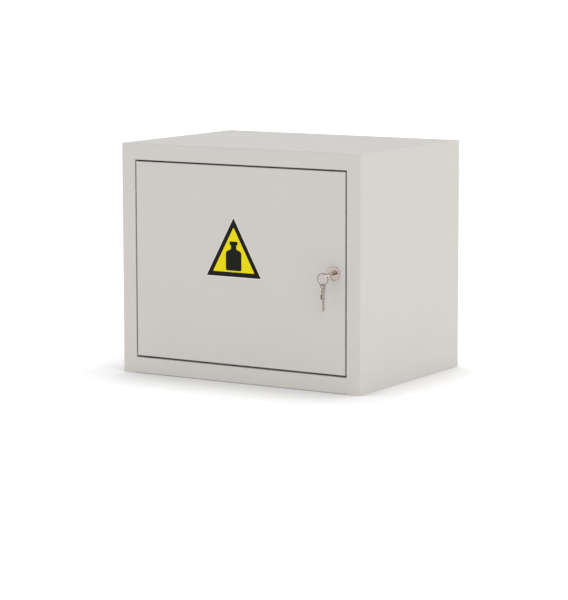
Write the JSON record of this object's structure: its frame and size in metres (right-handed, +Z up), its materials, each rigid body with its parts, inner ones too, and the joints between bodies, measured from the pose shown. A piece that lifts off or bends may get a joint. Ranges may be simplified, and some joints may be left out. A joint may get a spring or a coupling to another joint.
{
  "type": "lockable reagent cabinet",
  "caption": "Small lockable steel cabinet for reagents: folded casing, inset hinged door with a cam lock and hanging keys, and a shelf inside on slotted uprights.",
  "frame": {"origin": "middle of the casing's base, on the surface that the cabinet stands on", "axes": "+X to the right of someone facing the door, +Y to the back, +Z up"},
  "size_m": [0.44, 0.3488, 0.37],
  "materials": {
    "casing_enamel": "satin baked enamel on folded steel sheet",
    "door_enamel": "satin baked enamel on pressed steel sheet",
    "shelf_enamel": "satin baked enamel",
    "zinc_plate": "bright zinc plate",
    "buffer_rubber": "matt moulded rubber",
    "nylon_bush": "moulded black nylon",
    "lock_chrome": "polished chrome plate",
    "plug_chrome": "chrome plate, slightly worn",
    "lock_brass": "stamped brass",
    "key_nickel": "nickel plate, tumbled",
    "ring_steel": "nickel plated spring wire",
    "label_film": "printed self-adhesive film"
  },
  "bodies": {
    "casing": {"side_panel_left": "casing_enamel", "side_panel_right": "casing_enamel", "top_panel": "casing_enamel", "floor_panel": "casing_enamel", "back_panel": "casing_enamel", "shelf_upright_front_left": "casing_enamel", "shelf_upright_front_right": "casing_enamel", "shelf_upright_rear_left": "casing_enamel", "shelf_upright_rear_right": "casing_enamel", "shelf_clips": "zinc_plate", "shelf_panel": "shelf_enamel", "hinge_plate_upper": "zinc_plate", "hinge_plate_lower": "zinc_plate", "hinge_pin_upper": "zinc_plate", "hinge_pin_lower": "zinc_plate", "door_buffers": "buffer_rubber"},
    "door": {"door_skin": "door_enamel", "door_stiffener": "door_enamel", "hinge_gusset_upper": "zinc_plate", "hinge_gusset_lower": "zinc_plate", "hinge_bush_upper": "nylon_bush", "hinge_bush_lower": "nylon_bush", "lock_housing": "lock_chrome", "lock_nut": "zinc_plate"},
    "lock_core": {"lock_plug": "plug_chrome", "lock_wafers": "lock_brass", "cam_stop_washer": "zinc_plate", "cam": "zinc_plate", "cam_screw": "zinc_plate", "key": "key_nickel"},
    "key_ring": {"key_ring": "ring_steel"},
    "spare_key": {"spare_key": "key_nickel"}
  },
  "joints": [
    {"name": "door_swing", "type": "hinge", "parent": "casing", "child": "door", "pos_m": [-0.1775, -0.152, 0.18525], "axis": [0, 0, -1], "range_deg": [0, 115]},
    {"name": "lock_turn", "type": "hinge", "parent": "door", "child": "lock_core", "pos_m": [0.1723, -0.16, 0.18525], "axis": [0, 1, 0], "range_deg": [0, 90]},
    {"name": "ring_swing", "type": "hinge", "parent": "lock_core", "child": "key_ring", "pos_m": [0.16613, -0.1818, 0.18525], "axis": [1, 0, 0], "range_deg": [-12, 12]},
    {"name": "spare_key_swing", "type": "hinge", "parent": "key_ring", "child": "spare_key", "pos_m": [0.16613, -0.1818, 0.16745], "axis": [1, 0, 0], "range_deg": [-75, 6]}
  ]
}
